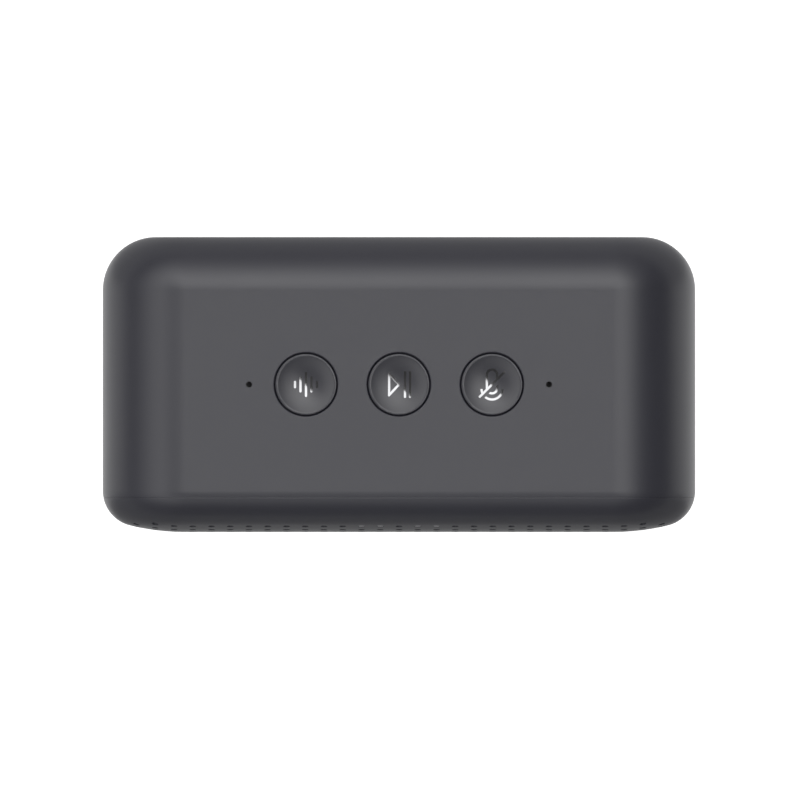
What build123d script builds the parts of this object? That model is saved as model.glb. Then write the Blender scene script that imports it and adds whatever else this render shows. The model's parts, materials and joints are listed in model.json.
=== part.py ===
"""A small smart speaker: a rounded plastic body with a perforated front, three dished push buttons
and two microphone holes on top, a full-range driver behind the grille, and the boards inside.

Units are millimetres. X is the width, -Y is the front, +Z is up. The origin is the centre of the
footprint, on the surface that the speaker stands on.
"""

import math
import os

from build123d import *

os.makedirs("parts", exist_ok=True)

# ---------------------------------------------------------------- driving dimensions
# Body
body_width = 118.5
body_depth = 59.0
body_height = 81.0  # from the table to the top face
foot_height = 1.0  # how far the rubber foot holds the shell off the table
corner_radius = 16.5  # of the body seen from the front
back_radius = 10.6  # of the edge round the back face
front_depth = 8.25  # how far back the front edge's rounding reaches
front_radius = 7.15  # of the tighter part of that rounding
seam_depth = 6.9  # from the front face to the joint between grille and housing
housing_wall = 2.0
grille_wall = 1.6

# Front perforations
hole_pitch = 3.75
hole_radius = 0.65
hole_margin = 6.0  # least distance from the outermost holes' middles to the shell's sides
hole_reach = 6.5  # how far back the holes are cut
cloth_thickness = 0.3
cloth_gap = 0.05  # between the cloth and the grille's inner face
cloth_lap = 0.2  # past the edges of the outermost holes
cloth_corner = 5.0

# Joint between grille, baffle and housing
nest_gap = 0.1  # between pieces that nest in one body
lip_inset = 2.3  # of the grille's lip from the body's sides
lip_thickness = 1.0
lip_length = 1.9
band_length = 1.0  # of the thickened band that carries the lip
band_inset = 1.2
baffle_gap = 2.1  # from the seam back to the baffle
baffle_thickness = 2.5
gasket_thickness = 0.8
rib_thickness = 1.6  # of the ring round the driver on the baffle's back
rib_height = 1.5
ledge_width = 1.7
ledge_thickness = 2.0
hook_thickness = 1.2
hook_width = 8.0
hook_barb = 0.7
hook_root = 2.4  # from the front face to where a hook grows out of the grille
hook_clear = 0.3  # between the outermost holes and the hooks
side_hook_z = 18.0  # of the side hooks, from the middle
end_hook_x = 36.0  # of the top and bottom hooks
slot_gap = 0.3  # round a hook in its slot
screw_inset = 9.0  # of the corner screws, from the body's sides
boss_radius = 4.5
boss_length = 12.0
root_overlap = 0.5  # how far a boss or rib runs into the wall it grows from

# Screws
baffle_screw = {"head": 2.3, "rise": 1.6, "shank": 1.2, "length": 8.0}
driver_screw = {"head": 2.0, "rise": 1.3, "shank": 1.0, "length": 3.2}
board_screw = {"head": 1.8, "rise": 1.1, "shank": 0.9, "length": 5.0}
thread_gap = 0.05  # between a shank and its pilot hole
through_gap = 0.3  # between a shank and a clearance hole
pilot_spare = 0.8  # of a pilot hole beyond its screw's tip
recess_width = 0.5
recess_depth = 0.7

# Buttons and microphones
button_radius = 6.1
button_gap = 0.2  # all round, between a cap and its hole
button_travel = 0.4
rim_radius = 0.35  # rounding of the hole's edge
cap_edge = 0.3  # rounding of the cap's edge
cap_recess = 0.1  # of the cap's edge below the top face
dish_radius = 5.6
dish_depth = 0.9
flange_overhang = 0.9
flange_thickness = 0.8
flange_gap = 0.05  # up to the wall that stops the cap
inlay_depth = 0.3  # below the bottom of the dish
carrier_size = (5.4, 1.4, 0.5)
carrier_shift = -0.8
stem_radius = 1.4
stem_length = 1.6
carrier_corner = 0.3
switch_chamfer = 0.8
microphone_corner = 0.2
microphone_hole_radius = 0.6

# Button board and what is on it
button_board_width = 15.0  # front to back
button_board_thickness = 1.2
button_board_depth = 5.6  # from the top wall down to the board
switch_size = (6.0, 6.0, 2.0)
plunger_radius = 1.6
plunger_gap = 0.15  # round a plunger in its switch
plunger_sink = 0.95  # of the plunger inside the switch
microphone_size = (3.5, 2.65, 1.0)
boot_radius = 2.5
boot_bore = 0.8
boot_waist = 1.6
roof_boss_radius = 1.9
boss_clear = 0.4  # between a cap's flange and the boss beside it
boot_clear = 1.9  # between the outer caps' flanges and the microphones' boots
end_screw_clear = 1.2  # between a boot and the boss beyond it
board_end = 2.9  # of the board past its end screws
connector_size = (11.0, 4.0, 1.8)  # of both ribbon connectors
connector_corner = 0.4
button_board_corner = 1.5
ribbon_x = 24.0
ribbon_width = 8.0
ribbon_thickness = 0.2
ribbon_grip = 2.5
ribbon_bend = 5.0

# Driver, on an axis along Y through the middle of the front
flange_size = 52.0
flange_corner = 7.0
driver_flange = 1.0
driver_hole_spacing = 43.0
basket_radius = 23.0
basket_mouth = 21.9
basket_depth = 15.0
basket_wall = 1.0
basket_windows = 6
window_size = (7.0, 15.0)
window_corner = 2.0
window_inset = 3.0  # of the windows' middles from the basket's edge
window_depth = 5.2
window_step = 1.2  # from the spider's seat back to the windows
seat_radius = 15.1  # inside of the spider's seat
seat_width = 1.7
seat_wall = 0.9
seat_depth = 4.0  # from the basket's back forward to the seat
lug_size = (3.0, 3.4)
lug_corner = 0.8
terminal_size = (12.0, 4.4, 0.8)
terminal_drop = 3.5  # of the terminals below the magnet
terminal_lap = 3.2  # of the basket's tab behind the terminals
cone_radius = 17.6
cone_lip = 1.3
coil_radius = 6.8  # inside of the coil's former
former_wall = 0.25
winding_wall = 0.3
neck_depth = 8.5  # from the cone's edge back to its neck
roll_radius = 2.1
film = 0.35  # of the cone, surround and spider
magnet_gap = 0.3  # on each side of the coil
top_plate_thickness = 3.0
magnet_thickness = 5.0
magnet_radius = 15.0
magnet_inset = 0.6  # of the ferrite inside the plate's edge
magnet_bore_gap = 1.2
magnet_chamfer = 0.4
pole_chamfer = 0.5
yoke_chamfer = 1.0
yoke_thickness = 3.0
spider_waves = 3
spider_depth = 0.7
spider_fold = 0.35  # radius of each fold
spider_gap = 0.25  # between the spider and the coil's former
spider_flat = 1.0  # of the flat rim
spider_edge_gap = 0.3  # round the rim in its seat
roll_gap = 0.3  # between the cone's edge and the roll
surround_lap = 0.2  # of the surround's inner edge short of the cone's flat
surround_rim = 1.4
dust_cap_rim = 1.6  # of the dust cap's edge outside the coil
dust_cap_bulge = 3.2
coil_overhang = 0.5  # of the coil's former behind the top plate

# Status lights, behind the top row of holes
light_columns = (-2, -1, 1, 2)
pin_radius = 0.6
light_board_size = (27.0, 4.0, 0.8)
led_size = (1.6, 0.8, 0.6)
guide_bar = (22.0, 2.2, 1.4)
guide_depth = 3.5  # of the bar's face behind the grille's
led_gap = 0.2  # between a light and its pin
led_chamfer = 0.15
guide_corner = 0.5
light_board_corner = 0.8
light_ribbon_width = 8.0
light_ribbon_bend = 0.5
light_ribbon_start = 0.4  # below the lights
light_slot_gap = 0.5  # round the ribbon in the baffle
pin_sink = 0.05  # of the pins' ends below the grille's face

# Main board
main_board_size = (84.0, 56.0, 1.6)  # width, height, thickness
main_board_gap = 7.0  # from the back wall to the board
main_board_low = 11.0  # the board's lower edge above the table
board_hole_inset = 4.0
standoff_radius = 3.0
main_board_corner = 2.5
main_connector_z = 60.0
shield_size = (22.0, 20.0, 2.4)
shield_place = (-12.0, 44.0)
can_wall = 0.3
shield_corner = 1.5
shield_vents = (3.0, 5, 4)  # pitch, across, upward
vent_radius = 0.5
can_edge = 0.4  # rounding of the shield's and the capacitor's edges
radio_size = (13.0, 12.0, 2.0)
radio_place = (-31.0, 27.0)
coax_place = (-27.5, 30.0)
coax_radius = 0.6
coax_plug = (0.5, 0.6)  # its wall round the cable, and its height
radio_chamfer = 0.3
capacitor_place = (30.0, 38.0)
capacitor_radius = 3.2
capacitor_height = 6.5
capacitor_base = (0.4, 0.8)  # wider than the can, and its height
capacitor_base_chamfer = 1.0
speaker_place = (15.0, 21.0)
speaker_socket = (7.0, 5.0, 4.4)
lead_pitch = 3.0
lead_radius = 0.75
lead_grip = 2.0
lead_sag = 3.0
lug_rise = 0.5
antenna_place = (4.0, 44.0)  # depth and height of its middle
antenna_size = (12.0, 26.0, 0.3)
antenna_corner = 1.0
port_height = 19.0  # of the power socket above the table
port_size = (8.94, 3.26)  # outside of the socket's shell
port_wall = 0.3
port_recess = 0.6  # of the socket's mouth inside the back face
port_gap = 0.25  # round the socket in the back wall
port_chamfer = 0.5
port_bore = 6.2
tongue_size = (6.7, 0.7, 5.2)
tongue_corner = 0.3

# Foot
foot_size = (82.0, 34.0)
foot_corner = 8.0
foot_recess = 0.6
foot_edge = 0.4

# ---------------------------------------------------------------- derived places
front = -body_depth / 2
back = body_depth / 2
top = body_height
shell_height = body_height - foot_height
middle = foot_height + shell_height / 2
seam = front + seam_depth
corner_x = body_width / 2 - corner_radius
corner_z = shell_height / 2 - corner_radius  # from the middle
front_offset = corner_radius - front_radius
ease_radius = (front_offset**2 + front_depth**2 - front_radius**2) / (
    2 * (front_depth - front_radius)
)
ease_angle = math.atan2(ease_radius - front_depth, front_offset)

baffle_front = seam + baffle_gap
baffle_back = baffle_front + baffle_thickness
ledge_front = baffle_back + gasket_thickness
screw_x = body_width / 2 - screw_inset
screw_z = shell_height / 2 - screw_inset
hole_columns = 2 * int((body_width / 2 - hole_margin) / hole_pitch) + 1
hole_rows = 2 * int((shell_height / 2 - hole_margin) / hole_pitch) + 1
columns_half = (hole_columns - 1) / 2 * hole_pitch
rows_half = (hole_rows - 1) / 2 * hole_pitch
top_row = middle + rows_half
side_hook_x = columns_half + hole_radius + hook_clear
end_hook_z = rows_half + hole_radius + hook_clear
flange_radius = button_radius + flange_overhang
button_pitch = 2 * (flange_radius + roof_boss_radius + boss_clear)
microphone_spacing = 2 * (button_pitch + flange_radius + boot_radius + boot_clear)
end_screw_x = microphone_spacing / 2 + boot_radius + roof_boss_radius + end_screw_clear
button_board_size = (2 * (end_screw_x + board_end), button_board_width, button_board_thickness)
roof = top - housing_wall
button_board_top = roof - button_board_depth
button_board_low = button_board_top - button_board_size[2]
back_wall = back - housing_wall
board_back = back_wall - main_board_gap
board_front = board_back - main_board_size[2]
board_middle = main_board_low + main_board_size[1] / 2
driver_front = baffle_front - driver_flange
basket_back = driver_front + basket_depth
foot_shift = (front_depth - back_radius) / 2  # to the middle of the flat underside
button_x = {"assistant": -button_pitch, "play": 0.0, "mute": button_pitch}
screw_corners = [(x, z) for x in (-screw_x, screw_x) for z in (-screw_z, screw_z)]


def facing_front(y, x=0.0, z=0.0):
    """A plane at depth y, seen from the front: its local X is X and its local Y is Z."""
    return Plane(origin=(x, y, z), x_dir=(1, 0, 0), z_dir=(0, -1, 0))


# The driver's profiles are drawn as (radius, y) on this plane and turned about this axis
driver_plane = Plane.XY.offset(middle)
driver_axis = Axis((0, 0, middle), (0, 1, 0))


# ---------------------------------------------------------------- the body's form
def rim_half(inset, shift):
    """Draws the body's rounded side from nose to tail and returns the two ends."""
    reach = shift + corner_radius - inset
    nose = (shift, front + inset)
    small = front_radius - inset
    meet = (
        shift + front_offset + small * math.cos(ease_angle),
        front + front_depth - small * math.sin(ease_angle),
    )
    side_front = (reach, front + front_depth)
    side_back = (reach, back - back_radius)
    tail = (shift + corner_radius - back_radius, back - inset)
    RadiusArc(nose, meet, -(ease_radius - inset))
    RadiusArc(meet, side_front, -small)
    Line(side_front, side_back)
    RadiusArc(side_back, tail, -(back_radius - inset))
    return nose, tail


def body_form(inset):
    """The body's solid, pulled in by inset all over: two crossing slabs and four round corners."""
    upright = Plane.XY.offset(middle - corner_z)
    sideways = Plane(origin=(-corner_x, 0, middle), x_dir=(0, 0, -1), z_dir=(1, 0, 0))
    with BuildPart() as form:
        for plane, shift, length in (
            (upright, corner_x, 2 * corner_z),
            (sideways, corner_z, 2 * corner_x),
        ):
            with BuildSketch(plane):
                with BuildLine():
                    nose, tail = rim_half(inset, shift)
                    Polyline(nose, (0, nose[1]), (0, tail[1]), tail)
                make_face()
                mirror(about=Plane.YZ)
            extrude(amount=length)
        for side_x in (-1, 1):
            for side_z in (-1, 1):
                place = (side_x * corner_x, 0, middle + side_z * corner_z)
                with BuildSketch(Plane(origin=place, x_dir=(side_x, 0, 0), z_dir=(0, 0, side_x))):
                    with BuildLine():
                        nose, tail = rim_half(inset, 0)
                        Polyline(nose, (0, tail[1]), tail)
                    make_face()
                revolve(axis=Axis(place, (0, -side_x * side_z, 0)), revolution_arc=90)
    return form.part


# ---------------------------------------------------------------- screws, made alike
def screw_solid(screw):
    """A pan-head screw with a cross recess: head on +Z of the origin, shank on -Z."""
    with BuildPart() as solid:
        with BuildSketch():
            Circle(screw["head"])
        extrude(amount=screw["rise"])
        rim = solid.faces().sort_by(Axis.Z)[-1].edges()
        fillet(rim, screw["rise"] * 0.6)
        with BuildSketch():
            Circle(screw["shank"])
        extrude(amount=-screw["length"])
        chamfer(solid.faces().sort_by(Axis.Z)[0].edges(), screw["shank"] * 0.4)
        with BuildSketch(Plane.XY.offset(screw["rise"] - recess_depth)):
            Rectangle(screw["head"] * 1.1, recess_width)
            Rectangle(recess_width, screw["head"] * 1.1)
        extrude(amount=screw["rise"], mode=Mode.SUBTRACT)
    return solid.part


# ---------------------------------------------------------------- main housing
with BuildPart() as main_housing:
    add(body_form(0))
    split(bisect_by=Plane(origin=(0, seam, 0), z_dir=(0, 1, 0)), keep=Keep.TOP)
    add(body_form(housing_wall), mode=Mode.SUBTRACT)
    # Ledge that the baffle's gasket seats on, and the corner bosses behind it
    with BuildSketch(facing_front(ledge_front + ledge_thickness, z=middle)):
        for inset, mode in ((housing_wall - root_overlap, Mode.ADD),
                            (housing_wall + ledge_width, Mode.SUBTRACT)):
            RectangleRounded(
                body_width - 2 * inset, shell_height - 2 * inset, corner_radius - inset, mode=mode
            )
    extrude(amount=ledge_thickness)
    with BuildSketch(facing_front(ledge_front + boss_length, z=middle)):
        with Locations(*screw_corners):
            Circle(boss_radius)
    extrude(amount=boss_length)
    with BuildSketch(facing_front(ledge_front, z=middle)):
        with Locations(*screw_corners):
            Circle(baffle_screw["shank"] + thread_gap)
    extrude(
        amount=-(baffle_screw["length"] - baffle_thickness - gasket_thickness + pilot_spare),
        mode=Mode.SUBTRACT,
    )
    # Standoffs for the main board
    with BuildSketch(facing_front(back_wall + root_overlap, z=board_middle)):
        with GridLocations(
            main_board_size[0] - 2 * board_hole_inset, main_board_size[1] - 2 * board_hole_inset, 2, 2
        ):
            Circle(standoff_radius)
    extrude(amount=main_board_gap + root_overlap)
    with BuildSketch(facing_front(board_back, z=board_middle)):
        with GridLocations(
            main_board_size[0] - 2 * board_hole_inset, main_board_size[1] - 2 * board_hole_inset, 2, 2
        ):
            Circle(board_screw["shank"] + thread_gap)
    extrude(
        amount=-(board_screw["length"] - main_board_size[2] + pilot_spare), mode=Mode.SUBTRACT
    )
    # Bosses that hang from the top wall and carry the button board
    roof_boss_places = [(x, 0) for x in (-end_screw_x, -button_pitch / 2, button_pitch / 2, end_screw_x)]
    with BuildSketch(Plane.XY.offset(button_board_top)):
        with Locations(*roof_boss_places):
            Circle(roof_boss_radius)
    extrude(amount=button_board_depth + root_overlap)
    with BuildSketch(Plane.XY.offset(button_board_top)):
        with Locations(*roof_boss_places):
            Circle(board_screw["shank"] + thread_gap)
    extrude(amount=board_screw["length"] - button_board_size[2] + pilot_spare, mode=Mode.SUBTRACT)
    # Button holes with a softened rim, and the two microphone holes
    with BuildSketch(Plane.XY.offset(roof)):
        with GridLocations(button_pitch, 0, 3, 1):
            Circle(button_radius + button_gap)
    extrude(amount=housing_wall, mode=Mode.SUBTRACT)
    rims = (
        main_housing.edges()
        .filter_by(GeomType.CIRCLE)
        .filter_by_position(Axis.Z, top - rim_radius / 2, top + rim_radius / 2)
    )
    fillet(rims, rim_radius)
    with BuildSketch(Plane.XY.offset(roof)):
        with GridLocations(microphone_spacing, 0, 2, 1):
            Circle(microphone_hole_radius)
    extrude(amount=housing_wall, mode=Mode.SUBTRACT)
    # Opening for the power socket in the back wall
    with BuildSketch(facing_front(back, z=port_height)):
        SlotOverall(port_size[0] + 2 * port_gap, port_size[1] + 2 * port_gap)
    extrude(amount=housing_wall, mode=Mode.SUBTRACT)
    port_rim = (
        main_housing.faces()
        .sort_by(Axis.Y)[-1]
        .inner_wires()
        .sort_by(Axis.Z)[0]
        .edges()
    )
    chamfer(port_rim, port_chamfer)
    # Recess for the foot
    with BuildSketch(Plane.XY.offset(foot_height)):
        with Locations((0, foot_shift)):
            RectangleRounded(foot_size[0] + 2 * nest_gap, foot_size[1] + 2 * nest_gap, foot_corner)
    extrude(amount=foot_recess, mode=Mode.SUBTRACT)

main_housing.part.label = "main_housing"
export_step(main_housing.part, "parts/main_housing.step")

# ---------------------------------------------------------------- perforated front grille
with BuildPart() as hook:
    # One hook in side view: it runs back along Y and its barb points to -X
    with BuildSketch(Plane.XY):
        with BuildLine():
            Polyline(
                (0, front + hook_root),
                (hook_thickness, front + hook_root),
                (hook_thickness, baffle_back + nest_gap + 2 * hook_barb),
                (0, baffle_back + nest_gap + 2 * hook_barb),
                (-hook_barb, baffle_back + nest_gap + hook_barb / 2),
                (-hook_barb, baffle_back + nest_gap),
                (0, baffle_back + nest_gap),
                close=True,
            )
        make_face()
    extrude(amount=hook_width / 2, both=True)

# Each hook's place on the grille's rim and its turn about the front-to-back axis
hook_places = [(side_hook_x, z, 0) for z in (-side_hook_z, side_hook_z)]
hook_places += [(-side_hook_x, z, 180) for z in (-side_hook_z, side_hook_z)]
hook_places += [(x, end_hook_z, -90) for x in (-end_hook_x, end_hook_x)]
hook_places += [(x, -end_hook_z, 90) for x in (-end_hook_x, end_hook_x)]

with BuildPart() as front_grille:
    add(body_form(0))
    add(body_form(grille_wall), mode=Mode.SUBTRACT)
    split(bisect_by=Plane(origin=(0, seam, 0), z_dir=(0, 1, 0)), keep=Keep.BOTTOM)
    # Thickened band behind the rounding, and the lip that enters the housing
    with BuildSketch(facing_front(seam, z=middle)):
        for inset, mode in ((band_inset, Mode.ADD), (lip_inset + lip_thickness, Mode.SUBTRACT)):
            RectangleRounded(
                body_width - 2 * inset, shell_height - 2 * inset, corner_radius - inset, mode=mode
            )
    extrude(amount=band_length)
    with BuildSketch(facing_front(seam + lip_length, z=middle)):
        for inset, mode in ((lip_inset, Mode.ADD), (lip_inset + lip_thickness, Mode.SUBTRACT)):
            RectangleRounded(
                body_width - 2 * inset, shell_height - 2 * inset, corner_radius - inset, mode=mode
            )
    extrude(amount=lip_length + band_length / 2)
    for x, z, turn in hook_places:
        with Locations(Location((x, 0, middle + z), (0, turn, 0))):
            add(hook.part)
    # The perforations: an even grid with its four corner holes left out
    with BuildSketch(facing_front(front + hole_reach, z=middle)):
        with GridLocations(hole_pitch, hole_pitch, hole_columns - 2, hole_rows):
            Circle(hole_radius)
        with GridLocations(2 * columns_half, hole_pitch, 2, hole_rows - 2):
            Circle(hole_radius)
    extrude(amount=hole_reach, mode=Mode.SUBTRACT)

front_grille.part.label = "front_grille"
export_step(front_grille.part, "parts/front_grille.step")

# ---------------------------------------------------------------- cloth behind the perforations
cloth_inset = grille_wall + cloth_gap
cloth_reach = hole_radius + cloth_lap
with BuildPart() as grille_cloth:
    add(body_form(cloth_inset))
    add(body_form(cloth_inset + cloth_thickness), mode=Mode.SUBTRACT)
    with BuildSketch(facing_front(seam, z=middle)):
        RectangleRounded(
            2 * (columns_half + cloth_reach), 2 * (rows_half + cloth_reach), cloth_corner
        )
    extrude(amount=seam_depth, mode=Mode.INTERSECT)
    # The four light pins pass through it
    with BuildSketch(facing_front(seam, z=top_row)):
        with Locations(*[(column * hole_pitch, 0) for column in light_columns]):
            Circle(pin_radius)
    extrude(amount=seam_depth, mode=Mode.SUBTRACT)

grille_cloth.part.label = "grille_cloth"
export_step(grille_cloth.part, "parts/grille_cloth.step")

# ---------------------------------------------------------------- baffle, gasket and screws
baffle_inset = housing_wall + nest_gap
baffle_outline = (
    body_width - 2 * baffle_inset, shell_height - 2 * baffle_inset, corner_radius - baffle_inset
)
driver_hole_places = [
    (x * driver_hole_spacing / 2, z * driver_hole_spacing / 2) for x in (-1, 1) for z in (-1, 1)
]
light_slot_z = button_board_low - ribbon_thickness / 2  # of the lights' ribbon
slot_depth = hook_thickness + hook_barb + 2 * slot_gap
slot_width = hook_width + 2 * slot_gap
slot_centre = (hook_thickness - hook_barb) / 2

with BuildPart() as front_baffle:
    with BuildSketch(facing_front(baffle_back, z=middle)):
        RectangleRounded(*baffle_outline)
        Circle(basket_radius + through_gap, mode=Mode.SUBTRACT)
        with Locations(*screw_corners):
            Circle(baffle_screw["shank"] + through_gap, mode=Mode.SUBTRACT)
        with Locations(*driver_hole_places):
            Circle(driver_screw["shank"] + thread_gap, mode=Mode.SUBTRACT)
        # Slots that the grille's hooks pass through, turned as the hooks are
        for x, z, turn in hook_places:
            with Locations(Location((x, z, 0), (0, 0, -turn)) * Pos(slot_centre, 0, 0)):
                Rectangle(slot_depth, slot_width, mode=Mode.SUBTRACT)
        with Locations((0, light_slot_z - middle)):
            Rectangle(
                light_ribbon_width + 2 * light_slot_gap, 2 * light_slot_gap, mode=Mode.SUBTRACT
            )
    extrude(amount=baffle_thickness)
    # A rib on its back, round the driver's hole
    with BuildSketch(facing_front(baffle_back, z=middle)):
        Circle(basket_radius + through_gap + rib_thickness)
        Circle(basket_radius + through_gap, mode=Mode.SUBTRACT)
    extrude(amount=-rib_height)

front_baffle.part.label = "front_baffle"
export_step(front_baffle.part, "parts/front_baffle.step")

with BuildPart() as baffle_gasket:
    with BuildSketch(facing_front(ledge_front, z=middle)):
        RectangleRounded(*baffle_outline)
        inner = housing_wall + ledge_width
        RectangleRounded(
            body_width - 2 * inner,
            shell_height - 2 * inner,
            corner_radius - inner,
            mode=Mode.SUBTRACT,
        )
        with Locations(*screw_corners):
            Circle(boss_radius)
        RectangleRounded(*baffle_outline, mode=Mode.INTERSECT)
        with Locations(*screw_corners):
            Circle(baffle_screw["shank"] + through_gap, mode=Mode.SUBTRACT)
    extrude(amount=gasket_thickness)

baffle_gasket.part.label = "baffle_gasket"
export_step(baffle_gasket.part, "parts/baffle_gasket.step")

forward = (90, 0, 0)  # turns +Z to -Y, so that a screw's head faces the front
baffle_screw_solid = screw_solid(baffle_screw)
with BuildPart() as baffle_screws:
    with Locations(*[Location((x, baffle_front, middle + z), forward) for x, z in screw_corners]):
        add(baffle_screw_solid)

baffle_screws.part.label = "baffle_screws"
export_step(baffle_screws.part, "parts/baffle_screws.step")

# ---------------------------------------------------------------- driver: the parts that stay still
seat_y = basket_back - seat_depth
bore = coil_radius + former_wall + winding_wall + magnet_gap
pole_radius = coil_radius - magnet_gap
plate_back = basket_back + top_plate_thickness
magnet_back = plate_back + magnet_thickness
terminal_z = middle - magnet_radius - terminal_drop

with BuildPart() as driver_basket:
    with BuildSketch(driver_plane):
        with BuildLine():
            Polyline(
                (basket_mouth, baffle_front - driver_flange / 2),
                (basket_mouth, baffle_front),
                (seat_radius + seat_width, seat_y),
                (seat_radius, seat_y),
                (seat_radius, basket_back - basket_wall),
                (bore + basket_wall, basket_back - basket_wall),
                (bore + basket_wall, basket_back),
                (seat_radius + basket_wall, basket_back),
                (seat_radius + seat_width + seat_wall, seat_y),
                (basket_radius, baffle_front),
                (basket_radius, baffle_front - driver_flange / 2),
                close=True,
            )
        make_face()
    revolve(axis=driver_axis)
    # Windows between the legs
    with BuildSketch(facing_front(seat_y - window_step, z=middle)):
        with PolarLocations(basket_radius - window_inset, basket_windows, start_angle=90):
            RectangleRounded(window_size[0], window_size[1], window_corner)
    extrude(amount=window_depth, mode=Mode.SUBTRACT)
    with BuildSketch(facing_front(baffle_front, z=middle)):
        RectangleRounded(flange_size, flange_size, flange_corner)
        Circle(basket_mouth, mode=Mode.SUBTRACT)
        with Locations(*driver_hole_places):
            Circle(driver_screw["shank"] + through_gap, mode=Mode.SUBTRACT)
    extrude(amount=driver_flange)
    # Tab for the terminals
    with BuildSketch(facing_front(basket_back, z=terminal_z)):
        with Locations((0, terminal_lap / 2)):
            Rectangle(terminal_size[0], terminal_size[1] + terminal_lap)
    extrude(amount=basket_wall)

driver_basket.part.label = "driver_basket"
export_step(driver_basket.part, "parts/driver_basket.step")

with BuildPart() as driver_top_plate:
    with BuildSketch(facing_front(plate_back, z=middle)):
        Circle(magnet_radius)
        Circle(bore, mode=Mode.SUBTRACT)
    extrude(amount=top_plate_thickness)

driver_top_plate.part.label = "driver_top_plate"
export_step(driver_top_plate.part, "parts/driver_top_plate.step")

with BuildPart() as driver_magnet:
    with BuildSketch(facing_front(magnet_back, z=middle)):
        Circle(magnet_radius - magnet_inset)
        Circle(bore + magnet_bore_gap, mode=Mode.SUBTRACT)
    extrude(amount=magnet_thickness)
    magnet_rims = driver_magnet.edges().filter_by(GeomType.CIRCLE)
    chamfer(magnet_rims, magnet_chamfer)

driver_magnet.part.label = "driver_magnet"
export_step(driver_magnet.part, "parts/driver_magnet.step")

with BuildPart() as driver_yoke:
    with BuildSketch(driver_plane):
        with BuildLine():
            Polyline(
                (0, basket_back),
                (pole_radius - pole_chamfer, basket_back),
                (pole_radius, basket_back + pole_chamfer),
                (pole_radius, magnet_back),
                (magnet_radius, magnet_back),
                (magnet_radius, magnet_back + yoke_thickness - yoke_chamfer),
                (magnet_radius - yoke_chamfer, magnet_back + yoke_thickness),
                (0, magnet_back + yoke_thickness),
                close=True,
            )
        make_face()
    revolve(axis=driver_axis)

driver_yoke.part.label = "driver_yoke"
export_step(driver_yoke.part, "parts/driver_yoke.step")

with BuildPart() as driver_terminals:
    with BuildSketch(facing_front(basket_back + terminal_size[2], z=terminal_z)):
        Rectangle(terminal_size[0], terminal_size[1])
    extrude(amount=terminal_size[2])
    # The two lugs
    with BuildSketch(facing_front(basket_back + terminal_size[2], z=terminal_z)):
        with GridLocations(terminal_size[0] / 2, 0, 2, 1):
            RectangleRounded(lug_size[0], lug_size[1], lug_corner)
    extrude(amount=-lug_rise)

driver_terminals.part.label = "driver_terminals"
export_step(driver_terminals.part, "parts/driver_terminals.step")

driver_screw_solid = screw_solid(driver_screw)
with BuildPart() as driver_screws:
    with Locations(
        *[Location((x, driver_front, middle + z), forward) for x, z in driver_hole_places]
    ):
        add(driver_screw_solid)

driver_screws.part.label = "driver_screws"
export_step(driver_screws.part, "parts/driver_screws.step")

# ---------------------------------------------------------------- driver: suspension, which bends
roll_centre = cone_radius + roll_gap + roll_radius  # of the surround's half roll
film_front = driver_front - film
surround_inner = cone_radius - cone_lip + surround_lap
surround_outer = roll_centre + roll_radius + surround_rim
with BuildPart() as driver_surround:
    with BuildSketch(driver_plane):
        with BuildLine():
            inside = roll_radius - film
            Line((surround_inner, driver_front), (roll_centre - inside, driver_front))
            ThreePointArc(
                (roll_centre - inside, driver_front),
                (roll_centre, driver_front - inside),
                (roll_centre + inside, driver_front),
            )
            Polyline(
                (roll_centre + inside, driver_front),
                (surround_outer, driver_front),
                (surround_outer, film_front),
                (roll_centre + roll_radius, film_front),
            )
            ThreePointArc(
                (roll_centre + roll_radius, film_front),
                (roll_centre, driver_front - roll_radius),
                (roll_centre - roll_radius, film_front),
            )
            Polyline(
                (roll_centre - roll_radius, film_front),
                (surround_inner, film_front),
                (surround_inner, driver_front),
            )
        make_face()
    revolve(axis=driver_axis)

driver_surround.part.label = "driver_surround"
export_step(driver_surround.part, "parts/driver_surround.step")

# The spider is a corrugated ring: its folds run in even waves to a flat rim
spider_inner = coil_radius + former_wall + spider_gap
spider_outer = seat_radius + seat_width - spider_edge_gap
spider_front = seat_y - film
wave_length = (spider_outer - spider_inner - 2 * spider_flat) / spider_waves
crests = [(spider_inner, spider_front - spider_depth)]
for step in range(2 * spider_waves):
    swing = spider_depth * (step % 2 * 2)
    place = spider_inner + spider_flat / 2 + (step + 0.5) * wave_length / 2
    crests.append((place, spider_front - swing))
crests.append((spider_outer - spider_flat, spider_front))
crests.append((spider_outer, spider_front))
with BuildPart() as driver_spider:
    with BuildSketch(driver_plane):
        with BuildLine():
            front_line = FilletPolyline(*crests, radius=spider_fold)
            back_line = FilletPolyline(*[(x, y + film) for x, y in crests], radius=spider_fold)
            Line(front_line @ 0, back_line @ 0)
            Line(front_line @ 1, back_line @ 1)
        make_face()
    revolve(axis=driver_axis)

driver_spider.part.label = "driver_spider"
export_step(driver_spider.part, "parts/driver_spider.step")

# ---------------------------------------------------------------- driver: the parts that move
former_outer = coil_radius + former_wall
neck_y = driver_front + neck_depth
cone_flat = cone_radius - cone_lip
with BuildPart() as driver_cone:
    with BuildSketch(driver_plane):
        with BuildLine():
            Polyline(
                (former_outer, neck_y),
                (former_outer, neck_y - film),
                (cone_flat, driver_front),
                (cone_radius, driver_front),
                (cone_radius, driver_front + film),
                (cone_flat + film / 2, driver_front + film),
                close=True,
            )
        make_face()
    revolve(axis=driver_axis)

driver_cone.part.label = "driver_cone"
export_step(driver_cone.part, "parts/driver_cone.step")

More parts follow.
